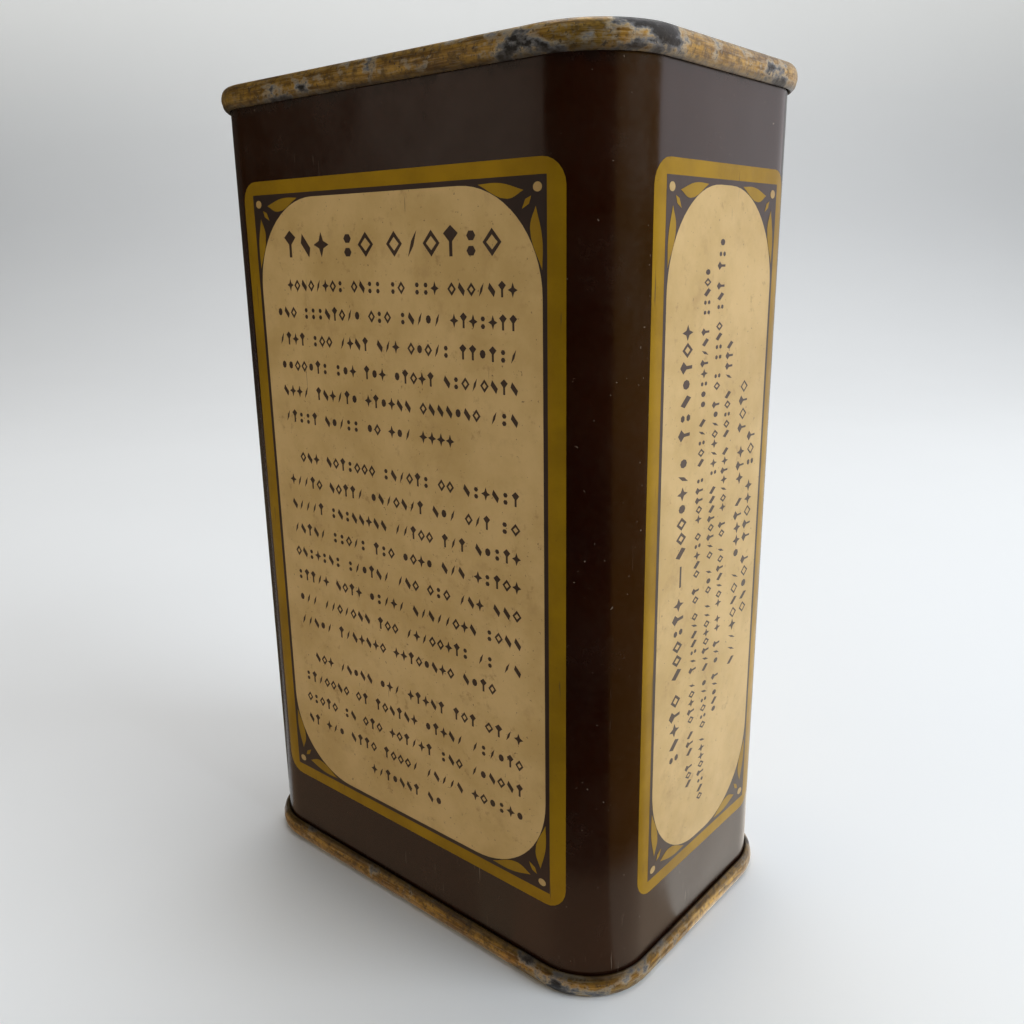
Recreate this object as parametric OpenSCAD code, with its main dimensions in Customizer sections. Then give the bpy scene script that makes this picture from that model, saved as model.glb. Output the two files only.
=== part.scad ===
// A small rectangular spice tin: a rolled tinplate body with a locked side seam, a top and a
// bottom end double-seamed to it, and a lid that plugs into the mouth and is pried up.
// Origin: centre of the ring that the tin stands on. +Z is up, -Y is the wide back panel's side.

/* [Body] */
// Width over the flat walls
body_w = 69.2; // [55:0.1:100]
// Depth over the flat walls
body_d = 44.2; // [36:0.1:70]
// Height over both seams
body_h = 114.3; // [70:0.1:180]
// Outer radius of the upright corners
corner_r = 8.9; // [6:0.1:12]
// Thickness of the body sheet
body_t = 0.28; // [0.2:0.01:0.4]

/* [Ends and double seams] */
// Thickness of the sheet that the two ends are pressed from
end_t = 0.30; // [0.2:0.01:0.4]
// Height of each double seam
seam_h = 3.0; // [2.4:0.05:4]
// Clearance between neighbouring layers of a seam
seam_gap = 0.08; // [0.04:0.01:0.1]
// Radius of the seam's outer and inner shoulders
seam_shoulder = 0.65; // [0.5:0.01:0.75]
// Free space between the tip of each hook and the fold that it points into
hook_clear = 0.45; // [0.35:0.05:0.6]
// Depth of the end panels below the seam's edge
countersink = 3.6; // [3.2:0.05:5]
// Inner radius where an end's wall turns into its panel
panel_bend = 0.6; // [0.4:0.05:1]
// Width of the flat ledge round the bottom panel
bottom_ledge = 4.5; // [3:0.1:5]
// How far the bottom panel is raised inside its ledge
bottom_step = 0.6; // [0.4:0.05:1]
// Clearance between the sealing compound and the hooks round it
compound_gap = 0.02; // [0.01:0.005:0.03]

/* [Side seam] */
// Overlap of the two hooks of the locked side seam
lock_w = 3.2; // [2.4:0.1:4.5]
// Clearance between the layers of the locked side seam
lock_gap = 0.06; // [0.04:0.01:0.1]
// Height at each end where the side seam is a plain lap
lap_h = 6; // [4.5:0.1:12]
// Clearance between the solder and the sheet
solder_gap = 0.02; // [0.01:0.005:0.03]

/* [Mouth] */
// Width of the mouth
mouth_w = 52; // [40:0.1:54]
// Depth of the mouth
mouth_d = 27; // [20:0.1:29]
// Corner radius of the mouth
mouth_r = 9; // [6:0.1:11]
// Outer radius where the ledge turns down into the neck
neck_bend = 0.6; // [0.4:0.05:1]
// Depth of the neck below the ledge
neck_h = 4.2; // [3:0.1:7]

/* [Lid] */
// Thickness of the lid sheet
lid_t = 0.28; // [0.2:0.01:0.35]
// Clearance between the plug and the neck
plug_gap = 0.06; // [0.03:0.01:0.12]
// Depth of the plug below the ledge
plug_h = 5.4; // [4:0.1:8]
// Outer radius of the lid's curled rim
curl_r = 1.0; // [0.8:0.05:1.2]
// Clearance under the curled rim
curl_gap = 0.1; // [0.05:0.01:0.2]
// Outer radius of the channel at the bottom of the plug
channel_r = 0.9; // [0.7:0.05:1.1]
// Depth of the lid's panel below the ledge
pan_depth = 1.6; // [0.5:0.1:3]
// Width of the flat border of the lid's panel
pan_border = 2.2; // [1.4:0.1:3]
// How far the lid's middle field is raised
pan_step = 0.5; // [0.3:0.05:0.8]

/* [Hidden] */
$fn = 96;
arc_steps = 8;      // straight steps in each quarter of a small bend
eps = 0.01;         // overrun of a cut past the face it leaves
join = 1;           // overlap of pieces that make up one sheet

// The layers of a double seam, from the wall outwards, as distances out from the wall's face
hook_in = 2 * seam_gap + end_t;                     // inner face of the body's hook
hook_mid = hook_in / 2;                             // middle of the body's fold
hook_fold = body_t + hook_mid;                      // outer radius of the body's fold
seam_out = 3 * seam_gap + 2 * end_t + body_t;       // outer face of the seam
cover_fold = end_t + seam_gap + body_t / 2;         // outer radius of the end's lower fold
chuck_out = -body_t - seam_gap;                     // outer face of the end's wall inside the body
chuck_in = chuck_out - end_t;                       // inner face of the same wall
shoulder_in = seam_shoulder - end_t;                // inner radius of the seam's shoulders
fold_depth = end_t + seam_gap + hook_fold;          // middle of the body's fold, from the seam's edge
body_tip = body_h - seam_h + end_t + hook_clear;    // tip of the body's hook, which points down
cover_tip = body_h - end_t - seam_gap - body_t - hook_clear;    // tip of the end's, which points up

ledge_z = body_h - countersink;                     // upper face of the top end's ledge
pitch = body_t + lock_gap;                          // layer to layer in the side seam
lock_fold = (2 * pitch + body_t) / 2;               // outer radius of the side seam's folds
lock_u = lock_w / 2;                                // middle of the side seam to its folds
jog_u = lock_u + lock_fold + lock_gap;              // where the sheet turns in behind the seam
jog_bend = body_t + 0.1;                            // outer radius of that turn

curl_x = -plug_gap - lid_t + curl_r;                // middle of the lid's curl, out from the neck
curl_z = ledge_z + curl_gap + curl_r;
channel_x = -plug_gap - channel_r;                  // middle of the channel under the lid
channel_z = ledge_z - plug_h + channel_r;
riser_x = channel_x - channel_r;                    // inner face of the channel's inner wall

lacquer_brown = "#2b1a12";
lacquer_gold = "#a9853a";
compound_grey = "#6f6a60";
solder_grey = "#8d8f92";

// Points along an arc about (x, z), from one angle to another
function arc(x, z, r, from, to) =
    let (steps = max(1, round(arc_steps * abs(to - from) / 90)))
    [for (i = [0:steps]) let (a = from + (to - from) * i / steps) [x + r * cos(a), z + r * sin(a)]];

// An outline measured from the wall's face, moved out to the middle of its corners
function out(points, r) = [for (p = points) [p[0] + r, p[1]]];

// The same outline upside down, for the other end of the tin
function flipped(points) = [for (i = [len(points) - 1:-1:0]) [points[i][0], body_h - points[i][1]]];

// Sweeps an outline round a rectangle with rounded corners. The outline's x is the distance out
// from the corners' centres, so it reaches r at the rectangle's edge.
module sweep(w, d, r, outline) {
    for (side = [0:3]) {
        half = side % 2 == 0 ? w / 2 : d / 2;
        run = side % 2 == 0 ? d - 2 * r : w - 2 * r;
        rotate([0, 0, 90 * side])
            translate([half - r, run / 2, 0]) {
                rotate([90, 0, 0]) linear_extrude(run) polygon(outline);
                rotate_extrude(angle = 90) polygon(outline);
            }
    }
}

// The flat middle that closes a swept panel
module field(w, d, r, z, t) {
    translate([r - w / 2, r - d / 2, z]) cube([w - 2 * r, d - 2 * r, t]);
}

// A flat plate with rounded corners
module plate(w, d, r, z, t) {
    sweep(w, d, r, [[0, z], [r, z], [r, z + t], [0, z + t]]);
    field(w, d, r, z, t);
}

// The top double seam of an end: its hook, its lower fold, its outer wall, its shoulders and the
// wall that goes down inside the body to the given height
function seam_sheet(foot) = let (
        low = body_h - seam_h + cover_fold,
        high = body_h - seam_shoulder,
        mid = seam_gap + cover_fold,
        outer = seam_out - seam_shoulder,
        inner = chuck_in + seam_shoulder)
    concat(
        [[seam_gap, cover_tip]],
        arc(mid, low, cover_fold, 180, 360),
        arc(outer, high, seam_shoulder, 0, 90),
        arc(inner, high, seam_shoulder, 90, 180),
        [[chuck_in, foot], [chuck_out, foot]],
        arc(inner, high, shoulder_in, 180, 90),
        arc(outer, high, shoulder_in, 90, 0),
        arc(mid, low, cover_fold - end_t, 360, 180),
        [[seam_gap + end_t, cover_tip]]);

// The turn from that wall into the panel, and the panel's first stretch, up to a distance in
function panel_turn(reach) = let (
        x = chuck_in - panel_bend,
        z = ledge_z + panel_bend)
    concat(
        [[chuck_in, z + join]],
        arc(x, z, panel_bend, 0, -90),
        [[x - reach, ledge_z], [x - reach, ledge_z - end_t]],
        arc(x, z, panel_bend + end_t, -90, 0),
        [[chuck_out, z + join]]);

// The sealing compound in the body's fold, above the end's hook
function compound() = concat(
    [[compound_gap, cover_tip + compound_gap]],
    arc(hook_mid, body_h - fold_depth, hook_mid - compound_gap, 180, 0),
    [[hook_in - compound_gap, cover_tip + compound_gap]]);

// The body sheet's wall with a hook rolled out at each end
function body_sheet() = let (
        top = body_h - fold_depth,
        upper = concat(
            arc(hook_mid, top, hook_fold, 180, 0),
            [[hook_in + body_t, body_tip], [hook_in, body_tip]],
            arc(hook_mid, top, hook_fold - body_t, 0, 180)))
    concat(upper, flipped(upper));

// The edge of the body sheet that folds in under itself, as [out from the wall, along the wall]
function lock_front() = concat(
    [[0, lock_u - join]],
    arc(-lock_fold, lock_u, lock_fold, 0, 180),
    [[-2 * lock_fold, -lock_u + lock_gap], [-2 * lock_fold + body_t, -lock_u + lock_gap]],
    arc(-lock_fold, lock_u, lock_fold - body_t, 180, 0),
    [[-body_t, lock_u - join]]);

// The other edge, which turns in behind the seam and folds back between the first one's layers
function lock_back() = concat(
    [[0, jog_u + jog_bend + join]],
    arc(-jog_bend, jog_u + jog_bend, jog_bend, 0, -90),
    [[-3 * pitch, jog_u]],
    arc(-pitch - lock_fold, -lock_u, lock_fold - body_t, 180, 360),
    [[-pitch - body_t, lock_u - lock_gap], [-pitch, lock_u - lock_gap]],
    arc(-pitch - lock_fold, -lock_u, lock_fold, 360, 180),
    [[-3 * pitch - body_t, jog_u + body_t], [-body_t, jog_u + body_t],
     [-body_t, jog_u + jog_bend + join]]);

// The solder that lies in the groove between the two edges
function solder_fillet() = concat(
    arc(-lock_fold, lock_u, lock_fold + solder_gap, 25, 60),
    arc(-jog_bend, jog_u + jog_bend, jog_bend + solder_gap, -70, -25));

// The lid from its curl down the plug, round the channel and up to its panel
function lid_sheet(r) = let (
        pan = ledge_z - pan_depth,
        border = riser_x - pan_border)
    concat(
        arc(curl_x, curl_z, curl_r, -110, 180),
        arc(channel_x, channel_z, channel_r - lid_t, 0, -180),
        [[riser_x + lid_t, pan], [border, pan], [border, pan + pan_step], [-r, pan + pan_step],
         [-r, pan + pan_step - lid_t], [border - lid_t, pan + pan_step - lid_t],
         [border - lid_t, pan - lid_t], [riser_x, pan - lid_t]],
        arc(channel_x, channel_z, channel_r, -180, 0),
        arc(curl_x, curl_z, curl_r - lid_t, 180, -110));

// Lays a piece out along the side seam, in the middle of the -X wall
module along_side_seam() {
    rotate([0, 0, 180]) translate([body_w / 2, 0, lap_h]) linear_extrude(body_h - 2 * lap_h) children();
}

module body_wrap() {
    color(lacquer_brown) {
        difference() {
            sweep(body_w, body_d, corner_r, out(body_sheet(), corner_r));
            along_side_seam()
                translate([-body_t - eps, lock_u]) square([body_t + 2 * eps, jog_u + jog_bend - lock_u]);
        }
        along_side_seam() polygon(lock_front());
        along_side_seam() polygon(lock_back());
    }
}

module side_seam_solder() {
    color(solder_grey) along_side_seam() polygon(solder_fillet());
}

module bottom_end() {
    color(lacquer_gold) {
        reach = bottom_ledge;
        step_x = chuck_in - panel_bend - bottom_ledge + join;
        step_z = countersink + bottom_step;
        sweep(body_w, body_d, corner_r, out(flipped(seam_sheet(ledge_z + panel_bend)), corner_r));
        sweep(body_w, body_d, corner_r, out(flipped(panel_turn(reach)), corner_r));
        sweep(body_w, body_d, corner_r, out(
            [[step_x, countersink], [step_x, step_z + end_t], [-corner_r, step_z + end_t],
             [-corner_r, step_z], [step_x - end_t, step_z], [step_x - end_t, countersink]], corner_r));
        field(body_w, body_d, corner_r, step_z, end_t);
    }
}

module bottom_seam_compound() {
    color(compound_grey) sweep(body_w, body_d, corner_r, out(flipped(compound()), corner_r));
}

module top_end() {
    ledge_in = chuck_in - panel_bend;
    color(lacquer_gold) {
        sweep(body_w, body_d, corner_r, out(seam_sheet(ledge_z + panel_bend), corner_r));
        sweep(body_w, body_d, corner_r, out(panel_turn(join), corner_r));
        difference() {
            plate(body_w + 2 * ledge_in, body_d + 2 * ledge_in, corner_r + ledge_in,
                  ledge_z - end_t, end_t);
            plate(mouth_w + 2 * neck_bend, mouth_d + 2 * neck_bend, mouth_r + neck_bend,
                  ledge_z - end_t - eps, end_t + 2 * eps);
        }
        sweep(mouth_w, mouth_d, mouth_r, out(concat(
            [[neck_bend + join, ledge_z]],
            arc(neck_bend, ledge_z - neck_bend, neck_bend, 90, 180),
            [[0, ledge_z - neck_h], [end_t, ledge_z - neck_h]],
            arc(neck_bend, ledge_z - neck_bend, neck_bend - end_t, 180, 90),
            [[neck_bend + join, ledge_z - end_t]]), mouth_r));
    }
}

module top_seam_compound() {
    color(compound_grey) sweep(body_w, body_d, corner_r, out(compound(), corner_r));
}

module plug_lid() {
    color(lacquer_gold) {
        sweep(mouth_w, mouth_d, mouth_r, out(lid_sheet(mouth_r), mouth_r));
        field(mouth_w, mouth_d, mouth_r, ledge_z - pan_depth + pan_step - lid_t, lid_t);
    }
}

body_wrap();
side_seam_solder();
bottom_end();
bottom_seam_compound();
top_end();
top_seam_compound();
plug_lid();
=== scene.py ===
import math
import random

import bmesh
import bpy
from mathutils import Matrix, Vector


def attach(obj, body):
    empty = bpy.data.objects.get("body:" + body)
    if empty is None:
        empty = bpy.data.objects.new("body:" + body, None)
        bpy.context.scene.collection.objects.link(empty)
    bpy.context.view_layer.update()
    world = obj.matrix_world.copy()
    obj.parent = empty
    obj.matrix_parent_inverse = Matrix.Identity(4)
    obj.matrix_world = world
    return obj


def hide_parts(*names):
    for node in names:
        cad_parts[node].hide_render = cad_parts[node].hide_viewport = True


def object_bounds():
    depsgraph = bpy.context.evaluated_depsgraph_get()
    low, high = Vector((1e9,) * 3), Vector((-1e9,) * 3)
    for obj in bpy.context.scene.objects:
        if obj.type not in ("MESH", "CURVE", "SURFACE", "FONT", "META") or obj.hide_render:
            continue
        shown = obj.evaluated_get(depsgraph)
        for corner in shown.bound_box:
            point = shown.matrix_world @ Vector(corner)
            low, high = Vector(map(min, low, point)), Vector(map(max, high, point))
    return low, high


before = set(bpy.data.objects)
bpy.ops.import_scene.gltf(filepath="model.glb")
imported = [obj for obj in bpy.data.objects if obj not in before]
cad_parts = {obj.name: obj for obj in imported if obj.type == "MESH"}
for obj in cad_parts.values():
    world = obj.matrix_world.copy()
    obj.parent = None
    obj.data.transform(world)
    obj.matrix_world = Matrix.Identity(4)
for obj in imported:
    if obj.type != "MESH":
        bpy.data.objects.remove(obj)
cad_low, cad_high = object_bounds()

# ---- Camera ------------------------------------------------------------------------------------
# A lens held close to the tin's near corner, a little above its middle, looking slightly down.
# The tin stands at the origin with its wide text panel towards -Y and its narrow one towards +X.
view_azimuth = math.radians(40.113)
view_elevation = math.radians(15.338)
view_roll = math.radians(-0.66)
view_distance = 0.14098
aim_height = 0.05528
aim_right = 0.00309

towards_camera = Vector((math.sin(view_azimuth) * math.cos(view_elevation),
                         -math.cos(view_azimuth) * math.cos(view_elevation),
                         math.sin(view_elevation)))
level_right = Vector((math.cos(view_azimuth), math.sin(view_azimuth), 0))
level_up = towards_camera.cross(level_right)
camera_right = level_right * math.cos(view_roll) + level_up * math.sin(view_roll)
camera_up = towards_camera.cross(camera_right)

bpy.ops.object.camera_add()
camera = bpy.context.object
camera.data.lens = 33.07
camera.data.shift_x = -0.0111
camera.data.shift_y = -0.0035
camera.data.clip_start = 0.005
camera.matrix_world = Matrix.Translation(
    Vector((0, 0, aim_height)) + level_right * aim_right + towards_camera * view_distance
) @ Matrix((camera_right, camera_up, towards_camera)).transposed().to_4x4()
bpy.context.scene.camera = camera

# ---- Tin wall ----------------------------------------------------------------------------------
# One sheet of tinplate, printed flat, rolled round a rectangular former and closed with a locked
# seam down the middle of the hidden narrow side. Its two edges are rolled out into hooks that
# the ends are seamed to. Dark brown lacquer outside, bare tin inside.
wall_sheet = 0.00028
end_sheet = 0.00030
seam_gap = 0.00008
seam_height = 0.0030
hook_clearance = 0.00045
hook_squeeze = 0.00006          # the seaming rolls press the hook's tip in
corner_radius = 0.0089
corner_steps = 24
side_steps = 24
same_place = 1e-6               # vertices nearer than this are one
lap_height = 0.0060             # the side seam is a plain lap this far from each end
lap_fade = 0.0006
groove_middle = -0.00206        # where the side seam's groove is along the -X wall
groove_half = 0.00046
groove_depth = 0.00040
groove_cuts = 8

seam_reach = 3 * seam_gap + 2 * end_sheet + wall_sheet      # the seams stand this far out
wall_x = cad_high.x - seam_reach
wall_y = cad_high.y - seam_reach
tin_top = cad_high.z


def pick_only(*objects):
    """Selects these objects and nothing else, and makes the last one active."""
    bpy.ops.object.select_all(action="DESELECT")
    for obj in objects:
        obj.select_set(True)
    bpy.context.view_layer.objects.active = objects[-1]


def pick_vertices(obj, test):
    """In edit mode, selects the vertices whose place passes a test, and what they span."""
    mesh = bmesh.from_edit_mesh(obj.data)
    bpy.ops.mesh.select_all(action="DESELECT")
    for vertex in mesh.verts:
        vertex.select = test(vertex.co)
    mesh.select_flush(True)
    bmesh.update_edit_mesh(obj.data)


def thicken(obj, thickness, offset, rim=0, back=0, even=True):
    """Gives a sheet its thickness and applies it; rim and back are material slots."""
    sheet = obj.modifiers.new("sheet", "SOLIDIFY")
    sheet.thickness = thickness
    sheet.offset = offset
    sheet.use_even_offset = even
    sheet.material_offset = back
    sheet.material_offset_rim = rim
    pick_only(obj)
    bpy.ops.object.modifier_apply(modifier="sheet")
    bpy.ops.object.shade_smooth_by_angle(angle=math.radians(32))


def arc(x, z, radius, start, end, steps=8):
    """Points along an arc about (x, z), with its ends at two angles in degrees."""
    angles = [math.radians(start + (end - start) * i / steps) for i in range(steps + 1)]
    return [(x + radius * math.cos(a), z + radius * math.sin(a)) for a in angles]


def flipped(profile):
    """The same profile for the other end of the tin."""
    return [(x, tin_top - z) for x, z in reversed(profile)]


def roll_sheet(name, half_x, half_y, radius, profile):
    """Forms a strip of sheet round a rectangle with rounded corners. The profile's points are
    how far out from the rectangle's edge they are, and how high. It stays in edit mode."""
    line = bpy.data.curves.new(name, "CURVE")
    line.dimensions = "3D"
    spline = line.splines.new("POLY")
    spline.points.add(len(profile) - 1)
    for point, (x, z) in zip(spline.points, profile):
        point.co = (half_x + x, radius - half_y, z, 1)
    rolled = bpy.data.objects.new(name, line)
    bpy.context.collection.objects.link(rolled)
    pick_only(rolled)
    bpy.ops.object.convert(target="MESH")
    bpy.ops.object.mode_set(mode="EDIT")
    bpy.ops.mesh.select_all(action="SELECT")
    for quarter in range(4):
        out, half = (half_x, half_y) if quarter % 2 == 0 else (half_y, half_x)
        turn = Matrix.Rotation(math.radians(90 * quarter), 3, "Z")
        step = turn @ Vector((0, 2 * (half - radius) / side_steps, 0))
        for _ in range(side_steps):
            bpy.ops.mesh.extrude_region_move(TRANSFORM_OT_translate={"value": step})
        bpy.ops.mesh.spin(steps=corner_steps, angle=math.radians(-90), axis=(0, 0, 1),
                          center=turn @ Vector((out - radius, half - radius, 0)))
    bpy.ops.mesh.select_all(action="SELECT")
    bpy.ops.mesh.remove_doubles(threshold=same_place)
    return bpy.context.object


def face_out(obj, place, direction):
    """In edit mode, makes a sheet's faces agree, and look in a direction at a place."""
    bpy.ops.mesh.select_all(action="SELECT")
    bpy.ops.mesh.normals_make_consistent(inside=False)
    mesh = bmesh.from_edit_mesh(obj.data)
    nearest = min(mesh.faces, key=lambda face: (face.calc_center_median() - place).length)
    if nearest.normal.dot(direction) < 0:
        bpy.ops.mesh.flip_normals()


class Wire:
    """A shader socket that sums can be written on, and the one maker of every other node."""

    def __init__(self, tree, socket):
        self.tree = tree
        self.socket = socket

    def node(self, kind, settings, inputs, out=0):
        made = self.tree.nodes.new("ShaderNode" + kind)
        for name, value in settings.items():
            setattr(made, name, value)
        for name, value in inputs.items():
            if isinstance(value, Wire):
                self.tree.links.new(value.socket, made.inputs[name])
            else:
                made.inputs[name].default_value = value
        return Wire(self.tree, made.outputs[out])

    def maths(self, operation, *values):
        return self.node("Math", {"operation": operation}, dict(enumerate(values)))

    def __add__(self, other):
        return self.maths("ADD", self, other)

    def __sub__(self, other):
        return self.maths("SUBTRACT", self, other)

    def __rsub__(self, other):
        return self.maths("SUBTRACT", other, self)

    def __mul__(self, other):
        return self.maths("MULTIPLY", self, other)

    __radd__ = __add__
    __rmul__ = __mul__

    def size(self):
        return self.maths("ABSOLUTE", self)

    def most(self, other):
        return self.maths("MAXIMUM", self, other)

    def rise(self, low, high):
        """0 at low and 1 at high, smooth between; low may be the larger of the two."""
        return self.node("MapRange", {"interpolation_type": "SMOOTHSTEP"},
                         {"Value": self, "From Min": low, "From Max": high})

    def mix(self, dark, light):
        """The colour dark where this is 0, and light where it is 1."""
        low, high = [(*c, 1) if isinstance(c, tuple) else c for c in (dark, light)]
        return self.node("Mix", {"data_type": "RGBA"}, {0: self, 6: low, 7: high}, out=2)

    def noise(self, scale, detail=3, roughness=0.55, stretch=(1, 1, 1), shift=(0, 0, 0)):
        """Cloudy noise on a place in millimetres; stretch makes its grains longer that way."""
        place = self.node("Mapping", {}, {"Vector": self, "Location": shift,
                                          "Scale": tuple(1 / s for s in stretch)})
        return self.node("TexNoise", {}, {"Vector": place, "Scale": scale, "Detail": detail,
                                          "Roughness": roughness})

    def part(self, axis):
        """The x, y or z of a place, as 0, 1 or 2."""
        return self.node("SeparateXYZ", {}, {0: self}, out=axis)

    def bump(self, distance):
        """The normal over this height, where 1 stands for a distance in metres."""
        return self.node("Bump", {}, {"Height": self, "Distance": distance})


def new_finish(name):
    """A material, its main shader, and the surface's place in millimetres."""
    finish = bpy.data.materials.new(name)
    finish.use_nodes = True
    tree = finish.node_tree
    place = Wire(tree, tree.nodes.new("ShaderNodeTexCoord").outputs["Object"])
    return (finish, tree.nodes["Principled BSDF"],
            place.node("Mapping", {}, {"Vector": place, "Scale": (1000, 1000, 1000)}))


def wire_up(shader, sockets):
    """Links what changes over the surface to the shader, and sets what doesn't."""
    for name, value in sockets.items():
        if isinstance(value, Wire):
            value.tree.links.new(value.socket, shader.inputs[name])
        else:
            shader.inputs[name].default_value = value


def from_end(mm):
    """How far in from the tin's nearer end a place is, in millimetres."""
    half = tin_top * 500
    return half - (mm.part(2) - half).size()


def brown_lacquer():
    """Near-black brown lithographed lacquer: scuffed, darker in patches next to the seams, a few pale
    nicks.
    """
    finish, shader, mm = new_finish("brown_lacquer")
    grain = mm.noise(1.3)
    # darker in noisy patches, most at each seam's foot and fading out 6.5 mm from the end; a little duller
    # there too
    near_seam_dark = (from_end(mm).rise(6.5, 3) * mm.noise(0.4, 5, 0.65)).rise(0.30, 0.75)
    nick = mm.noise(1.9, 2).rise(0.735, 0.765)
    scratch = mm.noise(1.0, 2, stretch=(0.35, 0.35, 9)).rise(0.70, 0.76)
    scuffed = mm.noise(0.045, 2, shift=(3, 8, 1)).rise(0.52, 0.68)
    rubbed = (scratch * scuffed).most(nick)
    brown = mm.noise(0.06, 4).rise(0.35, 0.7).mix((0.0135, 0.0022, 0.0004), (0.0205, 0.0046, 0.0010))
    dusty = (grain.rise(0.35, 0.75) * 0.4).mix(brown, (0.0230, 0.0088, 0.0030))
    darker_near_seams = (near_seam_dark * 0.6).mix(dusty, (0.0060, 0.0040, 0.0025))
    worn = (rubbed * 0.75).mix(darker_near_seams, (0.1900, 0.1500, 0.1150))
    dull = mm.noise(0.12, 5, 0.65).rise(0.3, 0.75) * 0.14 + grain * 0.10 + near_seam_dark * 0.10 + 0.10
    height = mm.noise(0.035, 2) + mm.noise(0.9, 2) * 0.012 - rubbed * 0.006
    wire_up(shader, {"Base Color": worn, "Roughness": dull, "Normal": height.bump(0.0004)})
    return finish


def bare_tinplate():
    """The unlacquered inside of the sheet: grey with a fine rolled grain and dull stains."""
    finish, shader, mm = new_finish("bare_tinplate")
    grain = mm.noise(1.2, 3, stretch=(1, 1, 12))
    stain = mm.noise(0.09, 5).rise(0.45, 0.7)
    wire_up(shader, {"Metallic": 1.0, "Normal": grain.bump(0.00001),
                     "Base Color": stain.mix((0.42, 0.41, 0.39), (0.25, 0.22, 0.18)),
                     "Roughness": grain * 0.2 + stain * 0.2 + 0.22})
    return finish


hook_middle = (2 * seam_gap + end_sheet) / 2
fold_height = tin_top - end_sheet - seam_gap - wall_sheet - hook_middle
hook_tip = tin_top - seam_height + end_sheet + hook_clearance
upper_wall = ([(0, tin_top / 2), (0, tin_top - lap_height - lap_fade), (0, tin_top - lap_height)]
              + arc(hook_middle, fold_height, hook_middle, 180, 0)
              + [(2 * hook_middle - hook_squeeze, hook_tip)])
tin_wall = roll_sheet("tin_wall", wall_x, wall_y, corner_radius,
                      flipped(upper_wall)[:-1] + upper_wall)
groove_places = [groove_middle + groove_half * (2 * i / groove_cuts - 1)
                 for i in range(groove_cuts + 1)]
for place in groove_places:
    bpy.ops.mesh.select_all(action="SELECT")
    bpy.ops.mesh.bisect(plane_co=(0, place, 0), plane_no=(0, 1, 0))
for place in groove_places:
    depth = groove_depth * (1 + math.cos(math.pi * (place - groove_middle) / groove_half)) / 2
    pick_vertices(tin_wall, lambda at: at.x < same_place - wall_x and abs(at.y - place) < same_place
                  and abs(at.z - tin_top / 2) < tin_top / 2 - lap_height - lap_fade / 2)
    bpy.ops.transform.translate(value=(depth, 0, 0))
face_out(tin_wall, Vector((wall_x, 0, tin_top / 2)), Vector((1, 0, 0)))
bpy.ops.object.mode_set(mode="OBJECT")
thicken(tin_wall, wall_sheet, -1, rim=1, back=1)
for finish in (brown_lacquer(), bare_tinplate()):
    tin_wall.data.materials.append(finish)
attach(tin_wall, "tin")
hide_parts("body_wrap")

# ---- Solder and sealing compound ---------------------------------------------------------------
# A run of dull solder lies in the groove of the side seam. A grey compound, out of sight, fills
# the fold of each double seam.
def dull_solder():
    """Grey solder with the ripples that it froze in."""
    finish, shader, mm = new_finish("dull_solder")
    ripple = mm.noise(0.7, 4, stretch=(1, 1, 2))
    wire_up(shader, {"Metallic": 0.9, "Roughness": ripple * 0.3 + 0.35,
                     "Base Color": ripple.mix((0.13, 0.12, 0.11), (0.36, 0.35, 0.34)),
                     "Normal": ripple.bump(0.00004)})
    return finish


def sealing_compound():
    """Dull rubbery compound, a little lumpy."""
    finish, shader, mm = new_finish("sealing_compound")
    lump = mm.noise(1.5)
    wire_up(shader, {"Base Color": lump.mix((0.16, 0.14, 0.12), (0.24, 0.22, 0.19)),
                     "Roughness": lump * 0.2 + 0.6, "Normal": lump.bump(0.00003)})
    return finish


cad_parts["side_seam_solder"].material_slots[0].material = dull_solder()
compound = sealing_compound()
for node in ("bottom_seam_compound", "top_seam_compound"):
    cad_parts[node].material_slots[0].material = compound

# ---- Top end -----------------------------------------------------------------------------------
# A pressed tinplate end with gold lacquer, double-seamed to the wall. Inside the seam it drops to
# a ledge round the mouth, whose edge is turned down into the short neck that grips the lid.
seam_shoulder = 0.00065
chuck_face = -(wall_sheet + seam_gap + end_sheet)       # inner face of the end's inner wall
countersink = 0.0036
panel_bend = 0.0006
bead_foot = 0.00028             # radius of the turn where the seam's bead meets the wall
bead_middle = 0.00018           # the bead is a half oval about this distance out from the wall
bead_start = -74                # the half oval's angles, in degrees up from straight out
bead_end = 90
bead_steps = 18
bead_crease = 0.00006           # the second seaming roll's edge leaves a faint crease round it
crease_turn = -22
crease_spread = 9
mouth_x = 0.0260
mouth_y = 0.0135
mouth_radius = 0.0090
neck_bend = 0.0006
neck_height = 0.0042
worn_past_x = 31                # millimetres from the middle, past which the corners are worn
worn_past_y = 18

ledge_height = tin_top - countersink


def seam_bead():
    """The outside of the seam: a half oval from its foot to its top, creased below its middle."""
    points = []
    for step in range(bead_steps + 1):
        degrees = bead_start + (bead_end - bead_start) * step / bead_steps
        turn = math.radians(degrees)
        crease = bead_crease * math.exp(-((degrees - crease_turn) / crease_spread) ** 2)
        points.append((bead_middle + (seam_reach - bead_middle - crease) * math.cos(turn),
                       tin_top - seam_height / 2 * (1 - math.sin(turn))))
    return points


shoulder_height = tin_top - seam_shoulder
seam_line = ([(seam_gap, tin_top - end_sheet - seam_gap - wall_sheet - hook_clearance)]
             + arc(seam_gap + bead_foot, tin_top - seam_height + bead_foot, bead_foot, 180, 285)
             + seam_bead()
             + arc(chuck_face + seam_shoulder, shoulder_height, seam_shoulder, 90, 180)
             + arc(chuck_face - panel_bend, ledge_height + panel_bend, panel_bend, 0, -90))
neck_line = (arc(neck_bend, ledge_height - neck_bend, neck_bend, 90, 180)
             + [(0, ledge_height - neck_height)])


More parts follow.
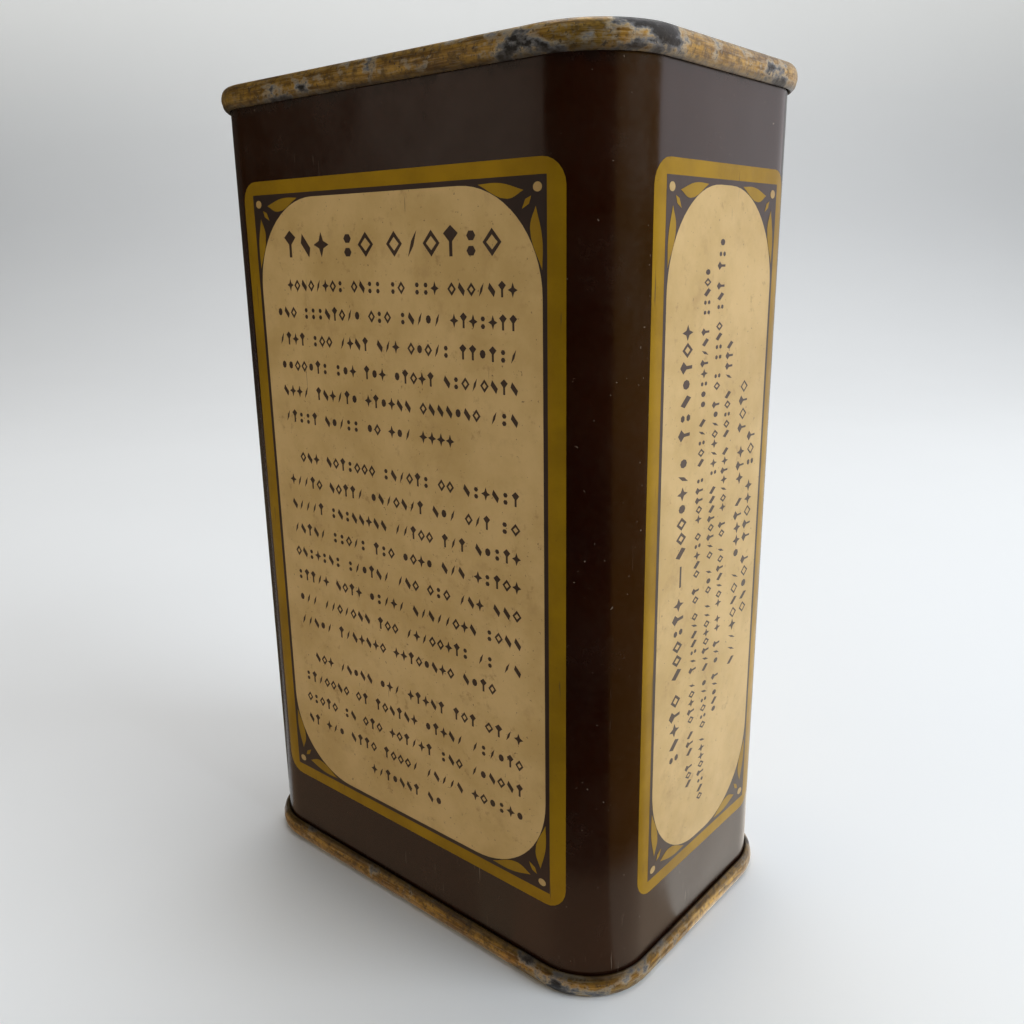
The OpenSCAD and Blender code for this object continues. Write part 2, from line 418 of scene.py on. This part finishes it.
def gold_lacquer(name, wear):
    """Ochre lacquer on tinplate, streaked along its length. Where hands and tools have rubbed it
    it turns chalky, then bare blue-grey tin shows, then black iron, most of all at the corners."""
    finish, shader, mm = new_finish(name)
    radius = corner_radius * 1000
    corner = ((mm.part(0).size() - worn_past_x).most(0)
              * (mm.part(1).size() - worn_past_y).most(0)).rise(0, 7)
    near = (mm.part(0) - mm.part(1) * 1.2).rise(36, 60)
    past = [(mm.part(axis).size() - (wall - corner_radius) * 1000).most(0)
            for axis, wall in ((0, wall_x), (1, wall_y))]
    outside = mm.maths("SQRT", past[0] * past[0] + past[1] * past[1]).rise(radius, radius + 0.1)
    # painted shade: the bead's lower edge, where it turns into the gap by the wall, is darkened
    painted_crevice_shade = from_end(mm).rise(1.9, 2.95) * outside
    streak = mm.noise(0.9, 5, 0.65, stretch=(7, 7, 0.55))
    fine_streak = mm.noise(2.6, 3, 0.6, stretch=(8, 8, 0.5), shift=(3, 1, 2))
    mottle = mm.noise(1.1, 4, 0.65, shift=(5, 2, 0))
    speck = mm.noise(1.9, 4, 0.6, shift=(6, 6, 1)).rise(0.58, 0.68)
    rubbed = (mm.noise(0.30, 5, 0.6, stretch=(1.7, 1.7, 1), shift=(1.7, 0, 0)) + corner * 0.07
              + near * 0.085 + (streak + mottle) * 0.16 - 0.16 + wear)
    chalky = rubbed.rise(0.52, 0.60)
    bare = rubbed.rise(0.57, 0.635)
    black = rubbed.rise(0.62, 0.69)
    gold = streak.rise(0.32, 0.66).mix((0.14, 0.066, 0.007), (0.50, 0.30, 0.055))
    aged = (mottle.rise(0.44, 0.64) * 0.75).mix(gold, (0.095, 0.058, 0.020))
    thin = (fine_streak.rise(0.5, 0.72) * 0.45).mix(aged, (0.50, 0.41, 0.27))
    chalked = (chalky * (0.35 + fine_streak * 0.8)).mix(thin, (0.50, 0.43, 0.31))
    tinned = (bare * 0.93).mix(chalked, mottle.rise(0.35, 0.65).mix((0.035, 0.037, 0.044),
                                                                     (0.16, 0.165, 0.18)))
    blackened = black.mix(tinned, (0.011, 0.010, 0.011))
    pitted = (speck * 0.75).mix(blackened, (0.030, 0.021, 0.014))
    # the painted shade darkens the colour at the bead's lower edge
    with_painted_shade = (painted_crevice_shade * 0.75).mix(pitted, (0.022, 0.014, 0.008))
    dull = mottle * 0.30 + fine_streak * 0.12 + bare * 0.16 + 0.20
    height = (mm.noise(0.16, 3) * 4 + mm.noise(0.7, 3) * 0.8 + fine_streak * 0.12
              - bare * 0.14 - black * 0.10 - speck * 0.14)
    wire_up(shader, {"Metallic": 0.62 - bare * 0.45 - speck * 0.2, "Base Color": with_painted_shade,
                     "Roughness": dull, "Coat Weight": 0.30 - chalky * 0.2, "Coat Roughness": 0.12,
                     "Normal": height.bump(0.00012)})
    return finish


top_end = roll_sheet("top_end_shell", wall_x, wall_y, corner_radius, seam_line)
bpy.ops.object.mode_set(mode="OBJECT")
neck = roll_sheet("neck", mouth_x, mouth_y, mouth_radius, neck_line)
bpy.ops.object.mode_set(mode="OBJECT")
pick_only(neck, top_end)
bpy.ops.object.join()
bpy.ops.object.mode_set(mode="EDIT")
pick_vertices(top_end, lambda at: abs(at.z - ledge_height) < same_place)
bpy.ops.mesh.bridge_edge_loops()
face_out(top_end, Vector((wall_x + seam_reach, 0, tin_top - seam_height / 2)), Vector((1, 0, 0)))
bpy.ops.object.mode_set(mode="OBJECT")
thicken(top_end, end_sheet, -1)
top_end.data.materials.append(gold_lacquer("gold_top_end", 0.0))
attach(top_end, "tin")
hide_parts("top_end")

# ---- Bottom end --------------------------------------------------------------------------------
# The same pressing without a mouth: seamed on in the same way, with its middle stepped in so that
# the tin stands on its seam.
bottom_ledge = 0.0038
bottom_step = 0.0006
step_bend = 0.00025

step_x = chuck_face - panel_bend - bottom_ledge
step_line = (arc(step_x + step_bend, ledge_height - step_bend, step_bend, 90, 180)
             + arc(step_x - step_bend, ledge_height - bottom_step + step_bend, step_bend, 0, -90))
bottom_end = roll_sheet("bottom_end_shell", wall_x, wall_y, corner_radius,
                        flipped(seam_line + step_line))
pick_vertices(bottom_end, lambda at: abs(at.z - countersink - bottom_step) < same_place)
bpy.ops.mesh.edge_face_add()
face_out(bottom_end, Vector((wall_x + seam_reach, 0, seam_height / 2)), Vector((1, 0, 0)))
bpy.ops.object.mode_set(mode="OBJECT")
thicken(bottom_end, end_sheet, -1)
bottom_end.data.materials.append(gold_lacquer("gold_bottom_end", -0.035))
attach(bottom_end, "tin")
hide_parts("bottom_end")

# ---- Plug lid ----------------------------------------------------------------------------------
# One pressing of gold-lacquered tinplate: a curled rim to prise it up by, a plug that is a push
# fit in the neck, a channel at its foot and a panel with a raised middle.
lid_sheet = 0.00028
plug_gap = 0.00006
plug_height = 0.0054
curl_radius = 0.0010
curl_gap = 0.0001
curl_start = -110               # the rim is rolled from this many degrees to upright
channel_radius = 0.0009
pan_depth = 0.0016
pan_border = 0.0022
pan_step = 0.0005
pan_bend = 0.00025

plug_face = -plug_gap - lid_sheet
channel_x = -plug_gap - channel_radius
riser_x = channel_x - channel_radius + lid_sheet
pan_height = ledge_height - pan_depth
border_x = riser_x - lid_sheet - pan_border
lid_line = (arc(plug_face + curl_radius, ledge_height + curl_gap + curl_radius,
                curl_radius, curl_start, 180, 20)
            + arc(channel_x, ledge_height - plug_height + channel_radius,
                  channel_radius - lid_sheet, 0, -180, 10)
            + arc(riser_x - pan_bend, pan_height - pan_bend, pan_bend, 0, 90, 5)
            + arc(border_x + pan_bend, pan_height + pan_bend, pan_bend, -90, -180, 5)
            + arc(border_x - pan_bend, pan_height + pan_step - pan_bend, pan_bend, 0, 90, 5))
plug_lid = roll_sheet("plug_lid_shell", mouth_x, mouth_y, mouth_radius, lid_line)
pick_vertices(plug_lid, lambda at: abs(at.z - pan_height - pan_step) < same_place
              and abs(at.x) < mouth_x + border_x - pan_bend + same_place
              and abs(at.y) < mouth_y + border_x - pan_bend + same_place)
bpy.ops.mesh.edge_face_add()
face_out(plug_lid, Vector((0, 0, pan_height + pan_step)), Vector((0, 0, 1)))
bpy.ops.object.mode_set(mode="OBJECT")
thicken(plug_lid, lid_sheet, -1)
plug_lid.data.materials.append(gold_lacquer("gold_lid", -0.03))
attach(plug_lid, "lid")
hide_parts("plug_lid")

# ---- Printed panels ----------------------------------------------------------------------------
# The sheet is printed before it is rolled: on both wide faces and the open narrow one, a gold
# panel, a dark line inside its edge and a round-cornered cream field. Small leaves fill the dark
# corners. The inks are thin films, one on another, that wrap a little way round the tin's edges.
print_low = 0.01205             # the gold panel's lower and upper edges
print_high = 0.1019
gold_corner = 0.0029
line_inset_x = 0.00225          # from the gold panel's edge to the dark line
line_inset_z = 0.00175
line_width = 0.0006
shift_of_print = 0.0007         # the print sits this far off the middle of every face
wide_panel_half = 0.02785
narrow_panel_half = 0.01525
narrow_squeeze = 0.93           # the narrow panel's corners are this much of the wide one's across
ink_film = 0.00001
bend_step = corner_radius * math.radians(90) / corner_steps
bend_cuts = 6

# One corner of the frame, as millimetres in from the dark line's outer corner, along and down.
# A third entry marks a point on a curve; the others are sharp.
line_corner = ((0, 0),)
field_round = 12.0
field_middle = line_width * 1000 + field_round
field_corner = arc(field_middle, field_middle, field_round, 270, 180, 16)
along_leaf = ((9.6, 0.62), (6.4, 0.60, 1), (3.1, 1.45), (5.3, 2.25, 1))
down_leaf = tuple((down, along, *curved) for along, down, *curved in reversed(along_leaf))
diamond = ((3.35, 3.35), (2.85, 2.35), (2.05, 2.05), (2.35, 2.85))
pearl_corner = ((1.2, 1.2),)
pearl_across = 0.0012
pearl_up = 0.0010
quarters = ((1, 1), (1, -1), (-1, -1), (-1, 1))     # across and up, clockwise from the top right


def on_wall(face, along, height, lift):
    """The place on the wall for a distance along a face from its middle, and a height. Faces
    count from -Y, anticlockwise; print runs round on to the corners."""
    out, half = (wall_y, wall_x) if face % 2 == 0 else (wall_x, wall_y)
    past = abs(along) - (half - corner_radius)
    if past > 0:
        turn = past / corner_radius
        reach = corner_radius + lift
        along = math.copysign(half - corner_radius + reach * math.sin(turn), along)
        out = out - corner_radius + reach * math.cos(turn)
    else:
        out += lift
    return Matrix.Rotation(math.radians(90 * face), 3, "Z") @ Vector((along, -out, height))


def ink_on_wall(name, face, outlines, level, ink, steps=5):
    """Lays closed outlines, drawn flat in metres, on a face as one film of ink. A point is a
    distance along and a height, with a third entry if it is on a curve, cut into so many steps."""
    art = bpy.data.curves.new(name, "CURVE")
    art.dimensions = "2D"
    art.fill_mode = "FRONT"
    art.resolution_u = steps
    for outline in outlines:
        spline = art.splines.new("BEZIER")
        spline.use_cyclic_u = True
        spline.bezier_points.add(len(outline) - 1)
        for point, (along, height, *curved) in zip(spline.bezier_points, outline):
            point.co = (along, height, 0)
            point.handle_left_type = point.handle_right_type = "AUTO" if curved else "VECTOR"
    film = bpy.data.objects.new(name, art)
    bpy.context.collection.objects.link(film)
    pick_only(film)
    bpy.ops.object.convert(target="MESH")
    film = bpy.context.object
    bpy.ops.object.mode_set(mode="EDIT")
    flat = (wall_x if face % 2 == 0 else wall_y) - corner_radius
    for side in (-1, 1):
        for cut in range(bend_cuts):
            bpy.ops.mesh.select_all(action="SELECT")
            bpy.ops.mesh.bisect(plane_co=(side * (flat + cut * bend_step), 0, 0), plane_no=(1, 0, 0))
    bpy.ops.object.mode_set(mode="OBJECT")
    for vertex in film.data.vertices:
        vertex.co = on_wall(face, vertex.co.x, vertex.co.y, level * ink_film)
    thicken(film, ink_film, 1, even=False)
    film.data.materials.append(ink)
    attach(film, "tin")
    return film


def four_corners(corner, half, squeeze):
    """A closed frame outline from one corner's points, mirrored to the other three."""
    top = print_high - line_inset_z
    centre = (top + print_low + line_inset_z) / 2
    outline = []
    for across, up in quarters:
        points = [(shift_of_print + across * (half - line_inset_x - a / 1000 * squeeze),
                   centre + up * (top - centre - b / 1000), *curved) for a, b, *curved in corner]
        outline += points if across == up else points[::-1]
    return outline


def in_each_corner(shapes, half, squeeze):
    """Small closed outlines repeated in the four corners of a frame."""
    made = []
    for shape in shapes:
        whole = four_corners(shape, half, squeeze)
        size = len(shape)
        made += [whole[i * size:(i + 1) * size] for i in range(4)]
    return made


def oval(along, height, across, up):
    """A round or oval dot."""
    return [(along + across / 2, height, 1), (along, height + up / 2, 1),
            (along - across / 2, height, 1), (along, height - up / 2, 1)]


def printed_ink(name, light, dark, metal=0.0, foxing=0.0, rub=0.03, gloss=0.5):
    """Lithographed ink under varnish: a little uneven, foxed, with scuffs and small nicks that
    go through to the tin."""
    finish, shader, mm = new_finish(name)
    blotch = mm.noise(0.11, 5, 0.62).rise(0.32, 0.68)
    fox = (mm.noise(0.55, 5, 0.7, shift=(4, 7, 2)).rise(0.58, 0.74)
           + mm.noise(0.16, 5, 0.7, shift=(0, 3, 6)).rise(0.54, 0.72) * 0.5) * foxing
    speck = mm.noise(2.1, 2, shift=(1, 0, 5)).rise(0.70, 0.75) * min(1, foxing + 0.35)
    nick = mm.noise(1.5, 3, shift=(8, 8, 8)).rise(0.80 - rub, 0.82 - rub)
    scratch = mm.noise(0.8, 2, stretch=(0.3, 0.3, 8), shift=(5, 1, 0)).rise(0.75 - rub, 0.79 - rub)
    even = blotch.mix(dark, light)
    stained = (fox * 0.5).mix(even, tuple(c * k for c, k in zip(dark, (0.55, 0.45, 0.35))))
    specked = (speck * 0.6).mix(stained, (0.060, 0.028, 0.014))
    worn = (nick.most(scratch * 0.7)).mix(specked, (0.045, 0.035, 0.030))
    height = mm.noise(0.035, 2) + mm.noise(0.9, 2) * 0.03 - nick * 0.02
    wire_up(shader, {"Base Color": worn, "Metallic": metal, "Specular IOR Level": gloss,
                     "Roughness": mm.noise(0.4, 4) * 0.22 + nick * 0.2 + 0.26,
                     "Normal": height.bump(0.0004)})
    return finish


gold_ink = printed_ink("gold_ink", (0.36, 0.205, 0.002), (0.27, 0.150, 0.001),
                       metal=0.3, rub=0.045, gloss=0.22)
leaf_ink = printed_ink("leaf_gold_ink", (0.36, 0.21, 0.006), (0.27, 0.15, 0.004),
                       metal=0.2, gloss=0.25)
dark_ink = printed_ink("dark_ink", (0.034, 0.013, 0.008), (0.022, 0.009, 0.006))
cream_ink = printed_ink("cream_ink", (0.61, 0.405, 0.158), (0.50, 0.320, 0.104),
                        foxing=1.0, rub=0.0)
pearl_ink = printed_ink("pearl_ink", (0.50, 0.33, 0.12), (0.40, 0.24, 0.07), foxing=0.4)


def print_panel(name, face, half, squeeze):
    """Prints one framed panel: gold, the dark line, the cream field, leaves and pearls."""
    gold = []
    for across, up in quarters:
        edge = print_high if up == 1 else print_low
        turn = [(shift_of_print + across * (half - gold_corner + x), edge - up * (gold_corner - z))
                for x, z in arc(0, 0, gold_corner, 90, 0, 6)]
        gold += turn if across == up else turn[::-1]
    line = four_corners(line_corner, half, squeeze)
    field = four_corners(field_corner, half, squeeze)
    leaves = in_each_corner((along_leaf, down_leaf, diamond), half, squeeze)
    dots = [oval(along, height, pearl_across, pearl_up)
            for along, height in four_corners(pearl_corner, half, squeeze)]
    ink_on_wall(name + "_gold", face, [gold], 0, gold_ink)
    ink_on_wall(name + "_dark_line", face, [line], 1, dark_ink)
    ink_on_wall(name + "_cream_field", face, [field], 2, cream_ink)
    ink_on_wall(name + "_leaves", face, leaves, 3, leaf_ink)
    ink_on_wall(name + "_pearls", face, dots, 3, pearl_ink)


for name, face, half, squeeze in (("wide_text_panel", 0, wide_panel_half, 1),
                                  ("narrow_text_panel", 1, narrow_panel_half, narrow_squeeze),
                                  ("wide_front_panel", 2, wide_panel_half, 1)):
    print_panel(name, face, half, squeeze)


# ---- Rows of marks -----------------------------------------------------------------------------
# Where a spice tin carries its wording, plain marks stand in for it: seeds, leaves, cloves, stars,
# peppercorns and open lozenges in groups as long as words. They are dark ink and spell nothing.
mark_kinds = (("lozenge",) * 4 + ("leaf",) * 4 + ("clove",) * 4 + ("star",) * 3 + ("seed",) * 3
              + ("pair",) * 3 + ("corn",) * 2)
group_lengths = (2, 3, 3, 4, 5, 5, 6, 7, 8)
row_rest = 2.5                  # a group leaves this many pitches of its row, or else fills it
group_gap = 0.85                # the space between two groups, in pitches

# A mark's height, pitch and stroke, in millimetres, as are the places of the rows.
wide_heading_mark = (3.0, 3.2, 0.50)
wide_mark = (1.55, 1.48, 0.30)
narrow_heading_mark = (2.3, 1.9, 0.40)
narrow_mark = (1.6, 1.22, 0.27)
closing_mark = (1.9, 1.75, 0.26)

wide_heading = ((-19.0, -9.3), (-7.4, -0.6), (1.3, 20.2))
wide_heading_low = 92.0
first_row_left = -18.7          # a paragraph's first row starts further in than the others
rows_left = -21.4
rows_right = 22.3
row_pitch = 3.6
wide_paragraphs = ((87.6, 6, 12.0), (63.9, 8, 18.0), (33.1, 4, 22.3))     # top, rows, end of last
wide_closing_row = (-7.2, 7.6, 18.6)
wide_rows = [(rows_left if row else first_row_left, last_end if row == count - 1 else rows_right,
              top - row * row_pitch)
             for top, count, last_end in wide_paragraphs for row in range(count)]

narrow_heading = ((28.0, 38.3), (40.0, 51.2), (56.0, 69.0), (70.5, 84.3))
narrow_heading_low = 5.7
narrow_dash = (52.5, 6.5, 2.7, 0.4)                  # left, low, across and up
narrow_rows = ((23.0, 90.5, -2.0, narrow_mark), (19.6, 93.9, 1.2, narrow_mark),
               (31.6, 81.8, 4.1, narrow_mark), (37.0, 76.5, 8.5, closing_mark),
               (44.0, 69.8, 11.2, closing_mark))     # start, end and distance down
chance = random.Random(7)


def bar(left, low, across, up):
    """An upright rectangle."""
    return [(left, low), (left + across, low), (left + across, low + up), (left, low + up)]


def rounds(middle, low, across, up, reaches):
    """A closed shape about the middle of a cell, from how far its points reach, anticlockwise."""
    turns = [2 * math.pi * i / len(reaches) for i in range(len(reaches))]
    return [(middle + across / 2 * reach * math.cos(turn), low + up / 2 * (1 + reach * math.sin(turn)))
            for reach, turn in zip(reaches, turns)]


def one_mark(kind, left, low, cell, height, stroke):
    """The closed outlines of one mark in its cell."""
    middle = left + cell / 2
    across = min(cell * 0.88, height * 0.95)
    if kind == "lozenge":
        return [rounds(middle, low, across, height, (1,) * 4),
                rounds(middle, low + stroke * 1.4, across - stroke * 2.2, height - stroke * 2.8, (1,) * 4)]
    if kind in ("seed", "leaf"):
        width, lean = (stroke, 0.55) if kind == "seed" else (stroke * 1.9, -0.45)
        foot, head = middle - across * lean / 2, middle + across * lean / 2
        return [[(foot, low), (foot + (head - foot) * 0.35 + width * 0.8, low + height * 0.4),
                 (head, low + height), (foot + (head - foot) * 0.65 - width * 0.8, low + height * 0.6)]]
    if kind == "clove":
        stem, head = stroke / 2, across * 0.42
        return [[(middle - stem, low), (middle + stem, low), (middle + stem, low + height * 0.55),
                 (middle + head, low + height * 0.85), (middle, low + height * 1.15),
                 (middle - head, low + height * 0.85), (middle - stem, low + height * 0.55)]]
    if kind == "star":
        return [rounds(middle, low, across * 1.05, height * 1.05, (1, 0.42) * 4)]
    if kind == "pair":
        return [rounds(middle, low + height * rise, across * 0.5, height * 0.4, (1,) * 6)
                for rise in (0, 0.55)]
    return [rounds(middle, low + height * 0.18, across * 0.66, height * 0.66, (1,) * 8)]


def group_spans(start, end, mark):
    """Splits a row into spans as long as words."""
    pitch = mark[1]
    spans = []
    while True:
        stop = start + chance.choice(group_lengths) * pitch
        if stop > end - row_rest * pitch:
            return spans + [(start, end)]
        spans.append((start, stop))
        start = stop + pitch * group_gap


def row_of_marks(spans, low, mark):
    """The outlines of a row of marks in millimetres, grouped in spans."""
    height, pitch, stroke = mark
    outlines = []
    for start, end in spans:
        count = max(1, round((end - start) / pitch))
        cell = (end - start) / count
        for index in range(count):
            outlines += one_mark(chance.choice(mark_kinds), start + index * cell, low, cell,
                                 height, stroke)
    return outlines


mark_ink = printed_ink("mark_ink", (0.050, 0.022, 0.012), (0.032, 0.013, 0.008), rub=0.09)
rows = row_of_marks(wide_heading, wide_heading_low, wide_heading_mark)
for start, end, low in wide_rows + [wide_closing_row]:
    rows += row_of_marks(group_spans(start, end, wide_mark), low, wide_mark)
ink_on_wall("wide_panel_marks", 0, [[(a / 1000, b / 1000) for a, b in row] for row in rows],
            3, mark_ink)

rows = row_of_marks(narrow_heading, narrow_heading_low, narrow_heading_mark) + [bar(*narrow_dash)]
for start, end, down, mark in narrow_rows:
    rows += row_of_marks(group_spans(start, end, mark), -down, mark)
ink_on_wall("narrow_panel_marks", 1, [[(-b / 1000, a / 1000) for a, b in row] for row in rows],
            3, mark_ink)

# ---- Front device and pinstripes ---------------------------------------------------------------
# The front panel carries a sprig of leaves and berries in an oval ring. The seam side has no
# panel, only a thin gold frame each side of the seam.
device_along = shift_of_print
device_height = 0.0575
ring_across = 0.0380
ring_up = 0.0540
ring_width = 0.0011
ring_insets = (0, 1, 2, 2.6)    # in ring widths: the edges of a broad ring and of a fine one
stem_foot = -0.0190
stem_top = 0.0130
stem_half_foot = 0.0004
stem_half_top = 0.0002
leaf_pairs = 5
leaf_long = 0.0095
leaf_wide = 0.0034
leaf_out = 0.0003               # a leaf's foot is this far from the middle of the stem
leaf_turn = 58                  # degrees from upright at the lowest pair
turn_less = 5                   # each pair above is this much steeper
leaf_less = 0.06                # and this much shorter
lowest_pair = 0.004             # height of the lowest pair above the stem's foot
top_leaf_low = 0.001            # the top leaf's foot is this far below the stem's top
berry_out = 0.0026
berry_rise = 0.0046             # a berry sits this far above the foot of its leaf
berry_size = 0.0015
stripe = 0.0006
stripe_frames = ((-0.0130, -0.0034), (0.0045, 0.0130))


def leaf(foot, heading, long, wide):
    """A pointed leaf from its foot, at an angle from upright."""
    turn = Matrix.Rotation(heading, 2)
    shape = ((0, 0), (wide * 0.45, long * 0.3, 1), (wide * 0.42, long * 0.6, 1), (0, long),
             (-wide * 0.42, long * 0.6, 1), (-wide * 0.45, long * 0.3, 1))
    made = []
    for across, up, *curved in shape:
        at = turn @ Vector((across, up))
        made.append((device_along + foot[0] + at.x, device_height + foot[1] + at.y, *curved))
    return made


ring = [oval(device_along, device_height, ring_across - 2 * inset, ring_up - 2 * inset)
        for inset in [ring_width * widths for widths in ring_insets]]
stem = [(device_along + across, device_height + up)
        for across, up in ((-stem_half_foot, stem_foot), (stem_half_foot, stem_foot),
                           (stem_half_top, stem_top), (-stem_half_top, stem_top))]
leaves = [leaf((0, stem_top - top_leaf_low), 0, leaf_long, leaf_wide)]
berries = []
for pair in range(leaf_pairs):
    height = stem_foot + lowest_pair + (stem_top - stem_foot - lowest_pair) * pair / leaf_pairs
    for side in (-1, 1):
        leaves.append(leaf((side * leaf_out, height), -side * math.radians(leaf_turn - turn_less * pair),
                           leaf_long * (1 - leaf_less * pair), leaf_wide))
        berries.append(oval(device_along + side * berry_out, device_height + height + berry_rise,
                            berry_size, berry_size))
ink_on_wall("front_device_ring", 2, ring, 3, dark_ink, steps=18)
ink_on_wall("front_device_sprig", 2, leaves + [stem], 3, leaf_ink)
ink_on_wall("front_device_berries", 2, berries, 3, mark_ink)

frames = []
for left, right in stripe_frames:
    for inset in (0, stripe):
        frames.append(bar(left + inset, print_low + inset,
                          right - left - 2 * inset, print_high - print_low - 2 * inset))
ink_on_wall("seam_side_pinstripes", 3, frames, 0, gold_ink)

# ---- Studio ------------------------------------------------------------------------------------
# A pale sweep that glows more towards its top, painted light in place of light from behind, and
# three soft lights: one high up at the back, one to the right of the narrow side and a weak warm
# one on the wide side. Dark cards and glowing pale and brown ones that only the gloss sees paint
# reflections: the dark streak down the tin's rounded corner, as a product photographer's flags do.
sweep_reach = 1.3
sweep_height = 1.3
sweep_bend = 0.9
card_reach = 0.42
card_height = 0.60
card_near = 0.0115
card_turn = 0.033               # where the cards at the corner change from floor to flag
card_lift = 0.0004
light_aim = Vector((0, 0, 0.06))


def paper_with_painted_glow(name, colour):
    """Paper with a faint mottle, glowing more towards its top: painted light in place of light from
    behind.
    """
    finish, shader, mm = new_finish(name)
    mottle = mm.noise(0.01, 2)
    wire_up(shader, {"Base Color": mottle.mix(tuple(c * 0.97 for c in colour), colour),
                     # painted light: the paper glows, from nothing below 90 mm to pale grey high up on the
                     # backdrop
                     "Emission Color": mm.part(2).rise(90, 520).mix((0, 0, 0), (0.42, 0.42, 0.40)),
                     "Emission Strength": 1.0, "Roughness": 1.0, "Specular IOR Level": 0.0})
    return finish


def make_sweep():
    """A floor that curves up into a backdrop behind the tin, square to the camera's heading."""
    bpy.ops.object.select_all(action="DESELECT")
    bpy.ops.mesh.primitive_plane_add(size=2 * sweep_reach)
    floor = bpy.context.object
    floor.name = "studio_sweep"
    bpy.ops.object.mode_set(mode="EDIT")
    pick_vertices(floor, lambda at: at.y > 0)
    bpy.ops.mesh.extrude_region_move(TRANSFORM_OT_translate={"value": (0, 0, sweep_height)})
    pick_vertices(floor, lambda at: at.y > 0 and at.z < 0.001)
    bpy.ops.mesh.bevel(offset=sweep_bend, segments=24, affect="EDGES")
    bpy.ops.object.mode_set(mode="OBJECT")
    bpy.ops.object.shade_smooth()
    floor.data.transform(Matrix.Rotation(view_azimuth, 4, "Z"))
    floor.data.materials.append(paper_with_painted_glow("sweep_paper", (0.84, 0.85, 0.86)))


def gloss_card(name, side, start, end, near, far, flat_colour, upright_colour=None):
    """A card round a front corner, side 1 or -1, between two headings in degrees from -Y towards
    +X. It lies on the floor from near to far, and may then stand up. Only gloss sees it: it glows in its
    colours as a painted reflection."""
    bpy.ops.object.select_all(action="DESELECT")
    bpy.ops.mesh.primitive_plane_add(size=2, location=(1, 1, 0))
    card = bpy.context.object
    card.name = name
    centre = Vector((side * (wall_x - corner_radius), corner_radius - wall_y, card_lift))
    heading = Matrix.Rotation(math.radians(start), 3, "Z") @ Vector((0, -1, 0))
    bpy.ops.object.transform_apply(location=True)
    bpy.ops.object.mode_set(mode="EDIT")
    pick_vertices(card, lambda at: at.x + at.y > 1)
    bpy.ops.mesh.delete(type="VERT")
    bpy.ops.mesh.select_all(action="SELECT")
    bpy.ops.transform.translate(value=centre + heading * near)
    bpy.ops.mesh.extrude_region_move(TRANSFORM_OT_translate={"value": heading * (far - near)})
    if upright_colour:
        bpy.ops.mesh.extrude_region_move(TRANSFORM_OT_translate={"value": (0, 0, card_height)})
    bpy.ops.mesh.select_all(action="SELECT")
    bpy.ops.mesh.spin(steps=24, angle=math.radians(start - end), axis=(0, 0, 1), center=centre)
    bpy.ops.object.mode_set(mode="OBJECT")
    for face in card.data.polygons:
        face.material_index = 0 if face.center.z < card_lift * 2 else 1
    for part, colour in (("_flat", flat_colour), ("_upright", upright_colour or flat_colour)):
        # painted reflection: the card glows in its colour, and only gloss rays see it
        finish, shader, mm = new_finish(name + part)
        glow = mm.noise(0.008, 2).rise(0.3, 0.7).mix(tuple(c * 0.85 for c in colour), colour)
        wire_up(shader, {"Base Color": (0, 0, 0, 1), "Specular IOR Level": 0.0, "Roughness": 1.0,
                         "Emission Color": glow, "Emission Strength": 1.0})
        card.data.materials.append(finish)
    card.visible_camera = False
    card.visible_diffuse = False
    card.visible_shadow = False
    card.visible_transmission = False


def soft_light(name, azimuth, elevation, distance, size, power, colour):
    """A square softbox aimed at the tin's middle; azimuth runs from -Y towards +X."""
    a, e = math.radians(azimuth), math.radians(elevation)
    away = Vector((math.sin(a) * math.cos(e), -math.cos(a) * math.cos(e), math.sin(e)))
    bpy.ops.object.light_add(type="AREA", location=light_aim + away * distance)
    lamp = bpy.context.object
    lamp.name = name
    lamp.data.size = size
    lamp.data.energy = power
    lamp.data.color = colour
    lamp.rotation_mode = "QUATERNION"
    lamp.rotation_quaternion = away.to_track_quat("Z", "Y")


make_sweep()
black = (0.0, 0.0, 0.0)
gloss_card("far_left_flag", -1, -165, -82, card_near, card_reach,
           (0.10, 0.08, 0.05), (0.05, 0.04, 0.03))
gloss_card("dim_flag", 1, -82, -50, card_near, card_reach, (0.29, 0.21, 0.14), (0.035, 0.022, 0.01))
gloss_card("left_flag", 1, -50, -35, card_near, card_reach, (0.35, 0.27, 0.18), (0.58, 0.47, 0.38))
gloss_card("corner_floor", 1, -35, 68, card_near, card_turn, (0.42, 0.28, 0.18))
gloss_card("corner_flag", 1, -35, 68, card_turn, card_reach, black, black)
gloss_card("brown_floor", 1, 68, 138, card_near, card_turn, (0.75, 0.60, 0.45))
gloss_card("brown_flag", 1, 68, 138, card_turn, card_reach, (0.34, 0.17, 0.03), (0.42, 0.24, 0.05))
gloss_card("pale_card", 1, 138, 178, card_near, card_reach, (1.55, 1.45, 1.3), (1.15, 1.08, 1.10))
soft_light("key_softbox", 105, 30, 0.75, 0.5, 3.7, (0.92, 1.0, 1.07))
soft_light("fill_softbox", -30, 12, 0.8, 0.6, 1.1, (1.0, 0.77, 0.42))
soft_light("top_softbox", 200, 68, 0.9, 0.8, 5.5, (1.0, 1.0, 1.0))

surround = bpy.data.worlds.new("pale_room")
surround.use_nodes = True
surround.node_tree.nodes["Background"].inputs["Color"].default_value = (0.80, 0.82, 0.84, 1)
surround.node_tree.nodes["Background"].inputs["Strength"].default_value = 0.22
bpy.context.scene.world = surround
bpy.context.scene.view_settings.view_transform = "Standard"
